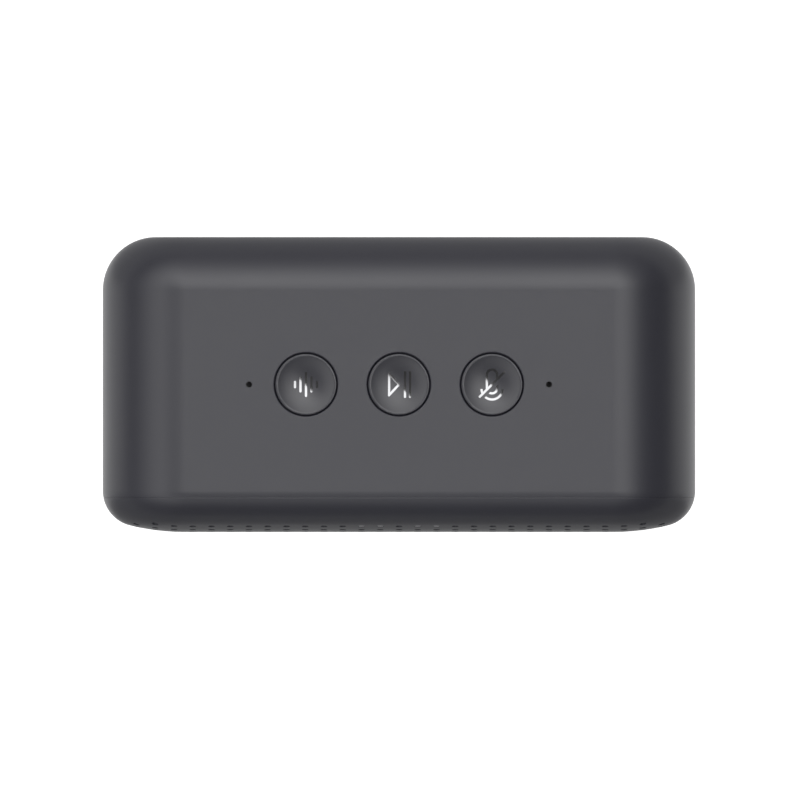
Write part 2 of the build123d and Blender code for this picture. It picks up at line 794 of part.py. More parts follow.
# The dust cap's rim rests on the cone just outside the neck
cap_rim = coil_radius + dust_cap_rim
cap_rim_y = (neck_y - film) + (driver_front - neck_y + film) * (cap_rim - former_outer) / (
    cone_flat - former_outer
)
cap_sphere = (cap_rim**2 + dust_cap_bulge**2) / (2 * dust_cap_bulge)
with BuildPart() as dust_cap:
    with BuildSketch(driver_plane):
        with BuildLine():
            apex = (0, cap_rim_y - dust_cap_bulge)
            RadiusArc((cap_rim, cap_rim_y), apex, cap_sphere)
            Line(apex, (0, apex[1] - film))
            RadiusArc((0, apex[1] - film), (cap_rim, cap_rim_y - film), -cap_sphere)
            Line((cap_rim, cap_rim_y - film), (cap_rim, cap_rim_y))
        make_face()
    revolve(axis=driver_axis)

dust_cap.part.label = "dust_cap"
export_step(dust_cap.part, "parts/dust_cap.step")

coil_end = plate_back + coil_overhang
with BuildPart() as coil_former:
    with BuildSketch(facing_front(coil_end, z=middle)):
        Circle(former_outer)
        Circle(coil_radius, mode=Mode.SUBTRACT)
    extrude(amount=coil_end - neck_y + film)

coil_former.part.label = "coil_former"
export_step(coil_former.part, "parts/coil_former.step")

with BuildPart() as coil_winding:
    with BuildSketch(facing_front(coil_end, z=middle)):
        Circle(former_outer + winding_wall)
        Circle(former_outer, mode=Mode.SUBTRACT)
    extrude(amount=top_plate_thickness + 1)

coil_winding.part.label = "coil_winding"
export_step(coil_winding.part, "parts/coil_winding.step")

# ---------------------------------------------------------------- buttons
cap_top = top - cap_recess
dish_low = cap_top - dish_depth
flange_top = roof - flange_gap
flange_low = flange_top - flange_thickness
stem_low = flange_low - stem_length
switch_top = button_board_top + switch_size[2]
inlay_low = dish_low - inlay_depth
dish_sphere = (dish_radius**2 + dish_depth**2) / (2 * dish_depth)

# The dish, as a ball of the right radius above the cap
with BuildPart() as dish:
    with BuildSketch(Plane.XZ):
        with BuildLine():
            Line((0, dish_low + 2 * dish_sphere), (0, dish_low))
            CenterArc((0, dish_low + dish_sphere), dish_sphere, -90, 180)
        make_face()
    revolve(axis=Axis.Z)

icons = {}

# Voice bars: five upright rounded bars, tallest in the middle
bar_heights = (1.5, 3.2, 5.0, 3.2, 1.5)
bar_pitch = 1.1
icon_stroke = 0.45
with BuildSketch(Plane.XY) as voice_bars:
    for index, height in enumerate(bar_heights):
        with Locations(((index - 2) * bar_pitch, 0)):
            SlotOverall(height, icon_stroke, rotation=90)
icons["assistant"] = voice_bars.sketch

# Play and pause: an outlined triangle and two bars
play_height = 5.4
play_left = -2.2
play_point = 0.3
pause_bars = (1.2, 2.2)
with BuildSketch(Plane.XY) as play_pause:
    with BuildLine():
        Polyline(
            (play_left, -play_height / 2),
            (play_point, 0),
            (play_left, play_height / 2),
            close=True,
        )
    make_face()
    fillet(play_pause.vertices(), 0.2)
    offset(amount=-icon_stroke, mode=Mode.SUBTRACT)
    with Locations(*[(x, 0) for x in pause_bars]):
        SlotOverall(play_height, icon_stroke, rotation=90)
icons["play"] = play_pause.sketch

# Microphone off: a capsule in a holder, struck through
capsule_width = 2.5
capsule_low = -2.0
capsule_high = 3.2
holder_radius = 2.1
slash_reach = 2.6
slash_gap = 0.35
with BuildSketch(Plane.XY) as microphone_off:
    with Locations((0, (capsule_low + capsule_high) / 2)):
        SlotOverall(capsule_high - capsule_low, capsule_width, rotation=90)
        SlotOverall(
            capsule_high - capsule_low - 2 * icon_stroke,
            capsule_width - 2 * icon_stroke,
            rotation=90,
            mode=Mode.SUBTRACT,
        )
    with BuildLine():
        CenterArc((0, capsule_low + capsule_width / 2 - 0.15), holder_radius, 180, 180)
    trace(line_width=icon_stroke)
    with Locations((slash_gap, -slash_gap)):
        Rectangle(2.6 * slash_reach, icon_stroke + 0.2, rotation=45, mode=Mode.SUBTRACT)
    SlotOverall(2 * math.sqrt(2) * slash_reach, icon_stroke, rotation=45)
icons["mute"] = microphone_off.sketch

for name, x in button_x.items():
    with BuildPart() as icon:
        with BuildSketch(Plane.XY.offset(inlay_low)):
            add(icons[name])
        extrude(amount=dish_depth + inlay_depth)
        add(dish.part, mode=Mode.SUBTRACT)
        # The bar under the cap's skin that joins the strokes
        with BuildSketch(Plane.XY.offset(inlay_low)):
            with Locations((0, carrier_shift)):
                RectangleRounded(carrier_size[0], carrier_size[1], carrier_corner)
        extrude(amount=-carrier_size[2])
    with BuildPart() as cap:
        with BuildSketch(Plane.XY.offset(flange_low)):
            Circle(flange_radius)
        extrude(amount=flange_thickness)
        with BuildSketch(Plane.XY.offset(flange_low)):
            Circle(button_radius)
        extrude(amount=cap_top - flange_low)
        fillet(cap.faces().sort_by(Axis.Z)[-1].edges(), cap_edge)
        with BuildSketch(Plane.XY.offset(stem_low)):
            Circle(stem_radius)
        extrude(amount=stem_length)
        add(dish.part, mode=Mode.SUBTRACT)
        add(icon.part, mode=Mode.SUBTRACT)
    with BuildPart() as plunger:
        with BuildSketch(Plane.XY.offset(stem_low)):
            Circle(plunger_radius)
        extrude(amount=-(stem_low - switch_top + plunger_sink))
    with BuildPart() as switch:
        with BuildSketch(Plane.XY.offset(button_board_top)):
            Rectangle(switch_size[0], switch_size[1])
            chamfer(vertices(), switch_chamfer)
        extrude(amount=switch_size[2])
        with BuildSketch(Plane.XY.offset(switch_top)):
            Circle(plunger_radius + plunger_gap)
        extrude(amount=-(plunger_sink + button_travel + plunger_gap), mode=Mode.SUBTRACT)
    for piece, ending in (
        (cap, "button_cap"),
        (icon, "button_icon"),
        (plunger, "switch_plunger"),
        (switch, "switch_body"),
    ):
        moved = piece.part.moved(Location((x, 0, 0)))
        moved.label = f"{name}_{ending}"
        export_step(moved, f"parts/{moved.label}.step")

# ---------------------------------------------------------------- microphones under the top wall
microphone_top = button_board_top + microphone_size[2]
for side, x in (("left", -microphone_spacing / 2), ("right", microphone_spacing / 2)):
    with BuildPart() as microphone:
        with BuildSketch(Plane.XY.offset(button_board_top)):
            with Locations((x, 0)):
                RectangleRounded(microphone_size[0], microphone_size[1], microphone_corner)
        extrude(amount=microphone_size[2])
        with BuildSketch(Plane.XY.offset(microphone_top)):
            with Locations((x, 0)):
                Circle(microphone_hole_radius / 2)
        extrude(amount=-microphone_size[2] / 2, mode=Mode.SUBTRACT)
    microphone.part.label = f"{side}_microphone"
    export_step(microphone.part, f"parts/{side}_microphone.step")

    with BuildPart() as boot:
        with BuildSketch(Plane.XY.offset(microphone_top)):
            with Locations((x, 0)):
                Circle(boot_radius)
                Circle(boot_bore, mode=Mode.SUBTRACT)
        extrude(amount=roof - microphone_top)
        # A waist round the middle lets it give between the board and the wall
        with BuildSketch(Plane.XY.offset((microphone_top + roof) / 2 - boot_waist / 2)):
            with Locations((x, 0)):
                Circle(boot_radius + 1)
                Circle(boot_radius - boot_waist / 2, mode=Mode.SUBTRACT)
        extrude(amount=boot_waist, mode=Mode.SUBTRACT)
    boot.part.label = f"{side}_microphone_boot"
    export_step(boot.part, f"parts/{side}_microphone_boot.step")

# ---------------------------------------------------------------- button board and its ribbon
with BuildPart() as button_board:
    with BuildSketch(Plane.XY.offset(button_board_low)):
        RectangleRounded(button_board_size[0], button_board_size[1], button_board_corner)
        with Locations(*roof_boss_places):
            Circle(board_screw["shank"] + through_gap, mode=Mode.SUBTRACT)
    extrude(amount=button_board_size[2])

button_board.part.label = "button_board"
export_step(button_board.part, "parts/button_board.step")

upward = (180, 0, 0)  # turns +Z to -Z, so that a screw's head faces down
board_screw_solid = screw_solid(board_screw)
with BuildPart() as button_board_screws:
    with Locations(*[Location((x, y, button_board_low), upward) for x, y in roof_boss_places]):
        add(board_screw_solid)

button_board_screws.part.label = "button_board_screws"
export_step(button_board_screws.part, "parts/button_board_screws.step")

ribbon_z = button_board_low - connector_size[2] / 2
ribbon_y = board_front - connector_size[2] / 2
connector_y = button_board_size[1] / 2 - connector_size[1] / 2
with BuildPart() as button_board_connector:
    with BuildSketch(Plane.XY.offset(button_board_low)):
        with Locations((ribbon_x, connector_y)):
            RectangleRounded(connector_size[0], connector_size[1], connector_corner)
    extrude(amount=-connector_size[2])
    with BuildSketch(Plane.XY.offset(ribbon_z)):
        with Locations((ribbon_x, button_board_size[1] / 2)):
            Rectangle(ribbon_width, 2 * ribbon_grip)
    extrude(amount=ribbon_thickness / 2, both=True, mode=Mode.SUBTRACT)

button_board_connector.part.label = "button_board_connector"
export_step(button_board_connector.part, "parts/button_board_connector.step")

# The flat ribbon leaves backwards, turns down and enters the main board's connector from above
ribbon_end_z = main_connector_z + connector_size[1] / 2 - ribbon_grip
with BuildPart() as button_ribbon:
    with BuildSketch(Plane.YZ.offset(ribbon_x)):
        with BuildLine():
            FilletPolyline(
                (button_board_size[1] / 2 - ribbon_grip, ribbon_z),
                (ribbon_y, ribbon_z),
                (ribbon_y, ribbon_end_z),
                radius=ribbon_bend,
            )
        trace(line_width=ribbon_thickness)
    extrude(amount=ribbon_width / 2, both=True)

button_ribbon.part.label = "button_ribbon"
export_step(button_ribbon.part, "parts/button_ribbon.step")

# ---------------------------------------------------------------- status lights
light_board_back = baffle_front
light_board_front = light_board_back - light_board_size[2]
led_front = light_board_front - led_size[2]
guide_front = front + guide_depth
with BuildPart() as status_light_guide:
    # A bar behind the cloth with four pins through it to the grille's face, and four to the lights
    with BuildSketch(facing_front(guide_front + guide_bar[2], z=top_row)):
        RectangleRounded(guide_bar[0], guide_bar[1], guide_corner)
    extrude(amount=guide_bar[2])
    with BuildSketch(facing_front(led_front - led_gap, z=top_row)):
        with Locations(*[(column * hole_pitch, 0) for column in light_columns]):
            Circle(pin_radius)
    extrude(amount=led_front - led_gap - front)
    add(body_form(pin_sink), mode=Mode.INTERSECT)

status_light_guide.part.label = "status_light_guide"
export_step(status_light_guide.part, "parts/status_light_guide.step")

with BuildPart() as status_light_board:
    with BuildSketch(facing_front(light_board_back, z=top_row)):
        RectangleRounded(light_board_size[0], light_board_size[1], light_board_corner)
    extrude(amount=light_board_size[2])

status_light_board.part.label = "status_light_board"
export_step(status_light_board.part, "parts/status_light_board.step")

for number, column in enumerate(light_columns, start=1):
    with BuildPart() as status_led:
        with BuildSketch(facing_front(light_board_front, x=column * hole_pitch, z=top_row)):
            Rectangle(led_size[0], led_size[1])
        extrude(amount=led_size[2])
        chamfer(status_led.edges().filter_by(Axis.Z).group_by(Axis.Y)[0], led_chamfer)
    status_led.part.label = f"status_led_{number}"
    export_step(status_led.part, f"parts/status_led_{number}.step")

# Their ribbon goes down the board's face, through the baffle and back to the button board
light_ribbon_y = light_board_front - ribbon_thickness / 2
with BuildPart() as status_light_ribbon:
    with BuildSketch(Plane.YZ):
        with BuildLine():
            FilletPolyline(
                (light_ribbon_y, top_row - led_size[1] - light_ribbon_start),
                (light_ribbon_y, light_slot_z),
                (-button_board_size[1] / 2 + ribbon_grip, light_slot_z),
                radius=light_ribbon_bend,
            )
        trace(line_width=ribbon_thickness)
    extrude(amount=light_ribbon_width / 2, both=True)

status_light_ribbon.part.label = "status_light_ribbon"
export_step(status_light_ribbon.part, "parts/status_light_ribbon.step")

# ---------------------------------------------------------------- main board
board_hole_places = [
    (x * (main_board_size[0] / 2 - board_hole_inset), z * (main_board_size[1] / 2 - board_hole_inset))
    for x in (-1, 1)
    for z in (-1, 1)
]
with BuildPart() as main_board:
    with BuildSketch(facing_front(board_back, z=board_middle)):
        RectangleRounded(main_board_size[0], main_board_size[1], main_board_corner)
        with Locations(*board_hole_places):
            Circle(board_screw["shank"] + through_gap, mode=Mode.SUBTRACT)
    extrude(amount=main_board_size[2])

main_board.part.label = "main_board"
export_step(main_board.part, "parts/main_board.step")

with BuildPart() as main_board_screws:
    with Locations(
        *[Location((x, board_front, board_middle + z), forward) for x, z in board_hole_places]
    ):
        add(board_screw_solid)

main_board_screws.part.label = "main_board_screws"
export_step(main_board_screws.part, "parts/main_board_screws.step")

with BuildPart() as processor_shield:
    with BuildSketch(facing_front(board_front, *shield_place)):
        RectangleRounded(shield_size[0], shield_size[1], shield_corner)
    extrude(amount=shield_size[2])
    fillet(processor_shield.faces().sort_by(Axis.Y)[0].edges(), can_edge)
    # The shield is a can: open towards the board
    with BuildSketch(facing_front(board_front, *shield_place)):
        RectangleRounded(
            shield_size[0] - 2 * can_wall, shield_size[1] - 2 * can_wall, shield_corner - can_wall
        )
    extrude(amount=shield_size[2] - can_wall, mode=Mode.SUBTRACT)
    with BuildSketch(facing_front(board_front - shield_size[2], *shield_place)):
        with GridLocations(shield_vents[0], shield_vents[0], shield_vents[1], shield_vents[2]):
            Circle(vent_radius)
    extrude(amount=-can_wall, mode=Mode.SUBTRACT)

processor_shield.part.label = "processor_shield"
export_step(processor_shield.part, "parts/processor_shield.step")

with BuildPart() as radio_module:
    with BuildSketch(facing_front(board_front, *radio_place)):
        Rectangle(radio_size[0], radio_size[1])
    extrude(amount=radio_size[2])
    chamfer(radio_module.faces().sort_by(Axis.Y)[0].edges(), radio_chamfer)
    # Socket for the antenna's cable
    with BuildSketch(facing_front(board_front - radio_size[2], *coax_place)):
        Circle(coax_radius + coax_plug[0])
    extrude(amount=coax_plug[1])

radio_module.part.label = "radio_module"
export_step(radio_module.part, "parts/radio_module.step")

with BuildPart() as power_capacitor:
    with BuildSketch(facing_front(board_front, *capacitor_place)):
        base_side = 2 * capacitor_radius + capacitor_base[0]
        Rectangle(base_side, base_side)
        chamfer(vertices(), capacitor_base_chamfer)
    extrude(amount=capacitor_base[1])
    with BuildSketch(facing_front(board_front - capacitor_base[1], *capacitor_place)):
        Circle(capacitor_radius)
    extrude(amount=capacitor_height)
    fillet(power_capacitor.faces().sort_by(Axis.Y)[0].edges(), can_edge)

power_capacitor.part.label = "power_capacitor"
export_step(power_capacitor.part, "parts/power_capacitor.step")

with BuildPart() as speaker_connector:
    with BuildSketch(facing_front(board_front, *speaker_place)):
        RectangleRounded(speaker_socket[0], speaker_socket[1], connector_corner)
    extrude(amount=speaker_socket[2])
    with BuildSketch(facing_front(board_front - speaker_socket[2], *speaker_place)):
        with GridLocations(lead_pitch, 0, 2, 1):
            Circle(lead_radius + nest_gap / 2)
    extrude(amount=-lead_grip, mode=Mode.SUBTRACT)

speaker_connector.part.label = "speaker_connector"
export_step(speaker_connector.part, "parts/speaker_connector.step")

with BuildPart() as ribbon_connector:
    with BuildSketch(facing_front(board_front, x=ribbon_x, z=main_connector_z)):
        RectangleRounded(connector_size[0], connector_size[1], connector_corner)
    extrude(amount=connector_size[2])
    with BuildSketch(facing_front(ribbon_y, x=ribbon_x, z=main_connector_z + connector_size[1] / 2)):
        Rectangle(ribbon_width, 2 * ribbon_grip)
    extrude(amount=ribbon_thickness / 2, both=True, mode=Mode.SUBTRACT)

ribbon_connector.part.label = "ribbon_connector"
export_step(ribbon_connector.part, "parts/ribbon_connector.step")

# ---------------------------------------------------------------- power socket
port_mouth = back - port_recess
with BuildPart() as power_socket:
    with BuildSketch(facing_front(port_mouth, z=port_height)):
        SlotOverall(port_size[0], port_size[1])
    extrude(amount=port_mouth - board_back)
    with BuildSketch(facing_front(port_mouth, z=port_height)):
        SlotOverall(port_size[0] - 2 * port_wall, port_size[1] - 2 * port_wall)
    extrude(amount=port_bore, mode=Mode.SUBTRACT)

power_socket.part.label = "power_socket"
export_step(power_socket.part, "parts/power_socket.step")

with BuildPart() as power_socket_tongue:
    with BuildSketch(facing_front(port_mouth - port_bore, z=port_height)):
        RectangleRounded(tongue_size[0], tongue_size[1], tongue_corner)
    extrude(amount=-tongue_size[2])

power_socket_tongue.part.label = "power_socket_tongue"
export_step(power_socket_tongue.part, "parts/power_socket_tongue.step")

# ---------------------------------------------------------------- antenna, cables and foot
inner_side = body_width / 2 - housing_wall
antenna_origin = (-inner_side, *antenna_place)
with BuildPart() as radio_antenna:
    with BuildSketch(Plane(origin=antenna_origin, x_dir=(0, 1, 0), z_dir=(1, 0, 0))):
        RectangleRounded(antenna_size[0], antenna_size[1], antenna_corner)
    extrude(amount=antenna_size[2])

radio_antenna.part.label = "radio_antenna"
export_step(radio_antenna.part, "parts/radio_antenna.step")

coax_start = (-inner_side + antenna_size[2] + coax_radius, *antenna_place)
coax_end = (coax_place[0], board_front - radio_size[2] - coax_plug[1] - coax_radius, coax_place[1])
with BuildPart() as antenna_cable:
    with BuildLine():
        Spline(
            coax_start,
            (coax_start[0] + 3, coax_start[1] + 5, coax_start[2] - 9),
            (coax_end[0] - 8, coax_end[1] - 1, coax_end[2] + 3),
            coax_end,
            tangents=((0, 0, -1), (1, 0, 0)),
        )
    with BuildSketch(Plane(origin=coax_start, z_dir=(0, 0, -1))):
        Circle(coax_radius)
    sweep()

antenna_cable.part.label = "antenna_cable"
export_step(antenna_cable.part, "parts/antenna_cable.step")

# The two leads run from the driver's lugs back to the connector
lug_back = basket_back + terminal_size[2] + lug_rise
for colour, side in (("red", -1), ("black", 1)):
    start = (side * terminal_size[0] / 4, lug_back, terminal_z)
    end = (
        speaker_place[0] + side * lead_pitch / 2,
        board_front - speaker_socket[2] + lead_grip,
        speaker_place[1],
    )
    with BuildPart() as lead:
        with BuildLine():
            Spline(
                start,
                (start[0] * 0.6 + end[0] * 0.4, lug_back + 8, terminal_z - lead_sag),
                (end[0], end[1] - lead_grip - 2, end[2]),
                end,
                tangents=((0, 1, 0), (0, 1, 0)),
            )
        with BuildSketch(Plane(origin=start, z_dir=(0, 1, 0))):
            Circle(lead_radius)
        sweep()
    lead.part.label = f"speaker_lead_{colour}"
    export_step(lead.part, f"parts/speaker_lead_{colour}.step")

with BuildPart() as foot_pad:
    with BuildSketch(Plane.XY):
        with Locations((0, foot_shift)):
            RectangleRounded(foot_size[0], foot_size[1], foot_corner)
    extrude(amount=foot_height + foot_recess)
    bottom_rim = foot_pad.faces().sort_by(Axis.Z)[0].edges()
    fillet(bottom_rim, foot_edge)

foot_pad.part.label = "foot_pad"
export_step(foot_pad.part, "parts/foot_pad.step")
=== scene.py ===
import json
import math

import bmesh
import bpy
import numpy as np
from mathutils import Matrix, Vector, geometry


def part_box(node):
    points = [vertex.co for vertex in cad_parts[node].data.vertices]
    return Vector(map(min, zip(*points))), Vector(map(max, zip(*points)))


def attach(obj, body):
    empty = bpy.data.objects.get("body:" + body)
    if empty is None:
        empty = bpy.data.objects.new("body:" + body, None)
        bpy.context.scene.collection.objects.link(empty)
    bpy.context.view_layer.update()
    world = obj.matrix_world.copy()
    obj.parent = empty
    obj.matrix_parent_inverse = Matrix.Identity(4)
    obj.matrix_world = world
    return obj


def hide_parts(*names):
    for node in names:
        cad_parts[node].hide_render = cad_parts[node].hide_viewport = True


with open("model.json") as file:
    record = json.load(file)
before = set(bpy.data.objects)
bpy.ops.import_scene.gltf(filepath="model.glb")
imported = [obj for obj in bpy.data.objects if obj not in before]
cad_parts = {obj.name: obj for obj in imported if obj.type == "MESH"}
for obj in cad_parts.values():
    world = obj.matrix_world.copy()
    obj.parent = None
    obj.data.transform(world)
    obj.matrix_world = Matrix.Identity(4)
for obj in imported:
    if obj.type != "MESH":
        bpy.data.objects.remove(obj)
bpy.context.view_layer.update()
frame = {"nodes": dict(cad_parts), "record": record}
nodes = frame["nodes"]
scene = bpy.context.scene

# ---- camera and light
print("camera and light")
camera = {  # straight above, a little forward
    "x": 0.0002,
    "y": -0.0031,
    "height": 0.6,
    "width": 0.160,
    "clip": (0.01, 10),
}
light = {
    "floor": 1.06,  # what the floor gives out by itself, so that the object casts no shadow on it
    "floorTint": 0.25,
    "floorHalf": 3,
    "horizon": 0.03,  # what the whole sky gives out, below the patches
    "backdrop": 1.06,  # what the camera sees of the sky, whatever it gives out
    "tint": (1.0, 1.0, 1.0, 1.0),
    "patches": [  # direction, cosines where each bright patch starts and is full, strength
        ((0, 0, 1), 0.75, 1.0, 1.0),
        ((-0.3, 0.1, 1), 0.5, 1.0, 2.1),
        ((0.1, 0.13, 1), 0.9, 1.0, 1.4),
        ((-1, 0, 1), 0.6, 1.0, 0.18),
        ((1, 0, 1), 0.6, 1.0, 0.08),
        ((0, 1, 1), 0.6, 1.0, 0.66),
        ((0, 0.6, 0.85), 0.94, 0.99, 0.5),
        ((0, -1, 0.25), 0.6, 1.0, 0.15),
    ],
    "flag": 0.95,  # how much the black flag, in front and to the left of the zenith, takes away
    "flagReach": (0.88, 0.92),  # cosines from the zenith where it starts and is full
    "flagEdge": (0.03, 0.0),  # the same across its straight edge, which passes by the zenith
    "cardHeight": 0.0005,
    "cards": [  # name, corners, colour and glow of sheets on the floor, unseen from above
        ("frontCard", (-0.6, -0.9), (0.6, -0.045), 0.05, 0.3),
        ("backCard", (-0.6, 0.045), (0.6, 0.9), 0.05, 0.45),
        ("rightCard", (0.08, -0.045), (0.9, 0.045), 0.05, 1.15),
        ("leftCard", (-0.9, -0.045), (-0.08, 0.045), 0.05, 1.1),
    ],
}

eye = bpy.data.objects.new("viewCamera", bpy.data.cameras.new("viewCamera"))
eye.data.type = "ORTHO"
eye.data.ortho_scale = camera["width"]
eye.data.clip_start, eye.data.clip_end = camera["clip"]
eye.location = (camera["x"], camera["y"], camera["height"])
scene.collection.objects.link(eye)
scene.camera = eye
scene.view_settings.view_transform = "Standard"

# ---- shader maths on sockets
class Field:
    def __init__(self, owner, socket):
        self.owner = owner
        self.socket = socket

    def math(self, operation, first, second):
        return self.owner.node("ShaderNodeMath", {"operation": operation}, {0: first, 1: second})

    def __add__(self, other):
        return self.math("ADD", self, other)

    def __radd__(self, other):
        return self.math("ADD", other, self)

    def __sub__(self, other):
        return self.math("SUBTRACT", self, other)

    def __rsub__(self, other):
        return self.math("SUBTRACT", other, self)

    def __mul__(self, other):
        return self.math("MULTIPLY", self, other)

    def __rmul__(self, other):
        return self.math("MULTIPLY", other, self)


class Nodes:
    # one node tree; node() adds any node, mix() and spread() are its common uses
    def __init__(self, tree):
        self.tree = tree
        tree.nodes.clear()

    def feed(self, socket, value):
        if isinstance(value, Field):
            self.tree.links.new(value.socket, socket)
        else:
            socket.default_value = value

    def node(self, kind, settings=None, values=None, out=0):
        made = self.tree.nodes.new(kind)
        for key, value in (settings or {}).items():
            setattr(made, key, value)
        for key, value in (values or {}).items():
            self.feed(made.inputs[key], value)
        return Field(self, made.outputs[out])

    def mix(self, share, first, second):
        settings = {"data_type": "RGBA"}
        return self.node("ShaderNodeMix", settings, {0: share, 6: first, 7: second}, out=2)

    def spread(self, value, low, high):
        settings = {"interpolation_type": "SMOOTHSTEP"}
        return self.node("ShaderNodeMapRange", settings, {0: value, 1: low, 2: high})


class Finish(Nodes):
    # one material; set() feeds its shader
    def __init__(self, name, **constants):
        self.material = bpy.data.materials.new(name)
        self.material.use_nodes = True
        super().__init__(self.material.node_tree)
        self.shader = self.tree.nodes.new("ShaderNodeBsdfPrincipled")
        out = self.tree.nodes.new("ShaderNodeOutputMaterial")
        self.tree.links.new(self.shader.outputs[0], out.inputs[0])
        for socket, value in constants.items():
            self.set(socket, value)
        self.place = self.node("ShaderNodeTexCoord", out="Object")

    def set(self, socket, value):
        self.feed(self.shader.inputs[socket.replace("_", " ")], value)

    def noise(self, size, detail=2.0, at=None):
        # even noise from 0 to 1 whose lumps are about size metres across
        values = {"Vector": at or self.place, "Scale": 1 / size, "Detail": detail}
        return self.node("ShaderNodeTexNoise", None, values)

    def bump(self, height, distance, strength=1.0):
        values = {"Height": height, "Distance": distance, "Strength": strength}
        self.set("Normal", self.node("ShaderNodeBump", None, values))


def shade(colour, by):
    return tuple(min(channel * by, 1.0) for channel in colour) + (1.0,)


# ---- world and floor: a soft dome with one black flag overhead
print("world and floor")
world = bpy.data.worlds.new("softDome")
world.use_nodes = True
scene.world = world
dome = Nodes(world.node_tree)
toSky = dome.node("ShaderNodeTexCoord", out="Generated")


def towards(direction):
    settings = {"operation": "DOT_PRODUCT"}
    values = {0: toSky, 1: Vector(direction).normalized()}
    return dome.node("ShaderNodeVectorMath", settings, values, out="Value")


glow = light["horizon"]
for direction, start, end, strength in light["patches"]:
    glow = dome.spread(towards(direction), start, end) * strength + glow
flagged = dome.spread(towards((0, 0, 1)), *light["flagReach"])
flagged = flagged * dome.spread(towards((1, 1, 0)), *light["flagEdge"])
sky = dome.tree.nodes.new("ShaderNodeBackground")
sky.inputs["Color"].default_value = light["tint"]
glow = glow * (1 - flagged * light["flag"])
seen = dome.node("ShaderNodeLightPath", out="Is Camera Ray")
dome.feed(sky.inputs["Strength"], seen * light["backdrop"] + (1 - seen) * glow)
skyOut = dome.tree.nodes.new("ShaderNodeOutputWorld")
dome.tree.links.new(sky.outputs[0], skyOut.inputs[0])


def studioSheet(name, low, high, level, colour, glow):
    mesh = bpy.data.meshes.new(name)
    corners = [low, (high[0], low[1]), high, (low[0], high[1])]
    mesh.from_pydata([(x, y, level) for x, y in corners], [], [(0, 1, 2, 3)])
    sheet = bpy.data.objects.new(name, mesh)
    scene.collection.objects.link(sheet)
    paint = Finish(name + "Paint", Roughness=0.9, Emission_Strength=glow)
    paint.set("Base Color", shade((1, 1, 1), colour))
    paint.set("Emission Color", (1, 1, 1, 1))
    mesh.materials.append(paint.material)
    return sheet


half = light["floorHalf"]
studioSheet("studioFloor", (-half, -half), (half, half), 0, light["floorTint"], light["floor"])
for name, low, high, colour, glow in light["cards"]:
    card = studioSheet(name, low, high, light["cardHeight"], colour, glow)
    card.visible_camera = False
    card.visible_shadow = False

# ---- finishes
print("finishes")


def mouldedPlastic(name, colour, roughness, grain=0.00022, depth=0.000004, mottle=0.05):
    finish = Finish(name, IOR=1.5)
    clouds = finish.noise(0.018, 3.0)
    fine = finish.noise(grain, 1.0)
    finish.set("Base Color", finish.mix(clouds, shade(colour, 1 - mottle), shade(colour, 1 + mottle)))
    finish.set("Roughness", roughness + (clouds - 0.5) * 0.06 + (fine - 0.5) * 0.05)
    finish.bump(fine, depth)
    return finish.material


def platedMetal(name, colour, roughness, brushed=0.0):
    finish = Finish(name, Metallic=1.0)
    at = finish.place
    if brushed:
        stretch = {"vector_type": "TEXTURE"}
        at = finish.node("ShaderNodeMapping", stretch, {"Vector": at, "Scale": (brushed, 1, 1)})
    fine = finish.noise(0.00018, 2.0, at)
    clouds = finish.noise(0.006, 3.0)
    finish.set("Base Color", finish.mix(clouds, shade(colour, 0.86), shade(colour, 1.08)))
    finish.set("Roughness", roughness + (clouds - 0.5) * 0.12 + (fine - 0.5) * 0.1)
    finish.bump(fine, 0.000003)
    return finish.material


def softRubber(name, colour, roughness=0.7):
    finish = Finish(name, IOR=1.5)
    fine = finish.noise(0.0003, 3.0)
    clouds = finish.noise(0.009, 2.0)
    finish.set("Base Color", finish.mix(clouds, shade(colour, 0.85), shade(colour, 1.25)))
    finish.set("Roughness", roughness + (fine - 0.5) * 0.2)
    finish.bump(fine, 0.000012)
    return finish.material


def wovenCloth(name, colour, pitch, across="XZ", depth=0.00006, sheen=0.3):
    # two crossing sets of threads, each a rounded ridge that goes over and under
    finish = Finish(name, Roughness=0.85, Sheen_Weight=sheen, IOR=1.45)
    first, second = (
        finish.node("ShaderNodeSeparateXYZ", None, {0: finish.place}, out=axis) for axis in across
    )
    turn = 2 * math.pi / pitch

    def wave(value):
        return finish.node("ShaderNodeMath", {"operation": "SINE"}, {0: value * turn})

    warp = wave(first) * 0.5 + 0.5
    weft = wave(second) * 0.5 + 0.5
    over = wave(first * 0.5) * wave(second * 0.5)
    weave = warp * weft + over * 0.25
    fuzz = finish.noise(pitch * 0.4, 3.0)
    finish.set("Base Color", finish.mix(weave, shade(colour, 0.45), shade(colour, 1.4)))
    finish.bump(weave + fuzz * 0.3, depth)
    return finish.material


def pressedPulp(name, colour):
    finish = Finish(name, IOR=1.45)
    fibres = finish.noise(0.0007, 6.0)
    clouds = finish.noise(0.006, 3.0)
    finish.set("Base Color", finish.mix(fibres, shade(colour, 0.6), shade(colour, 1.5)))
    finish.set("Roughness", 0.8 + (clouds - 0.5) * 0.15)
    finish.bump(fibres, 0.00004)
    return finish.material


def solderMask(name, colour):
    finish = Finish(name, IOR=1.5, Coat_Weight=0.4, Coat_Roughness=0.15)
    cells = {"feature": "DISTANCE_TO_EDGE", "distance": "CHEBYCHEV"}
    tracks = finish.node(
        "ShaderNodeTexVoronoi", cells, {"Vector": finish.place, "Scale": 420.0, "Randomness": 0.6}
    )
    line = finish.spread(tracks, 0.03, 0.06)
    clouds = finish.noise(0.01, 2.0)
    base = finish.mix(clouds, shade(colour, 0.85), shade(colour, 1.15))
    finish.set("Base Color", finish.mix(line, shade(colour, 1.7), base))
    finish.set("Roughness", 0.34 + (clouds - 0.5) * 0.1)
    finish.bump(line, 0.00003)
    return finish.material


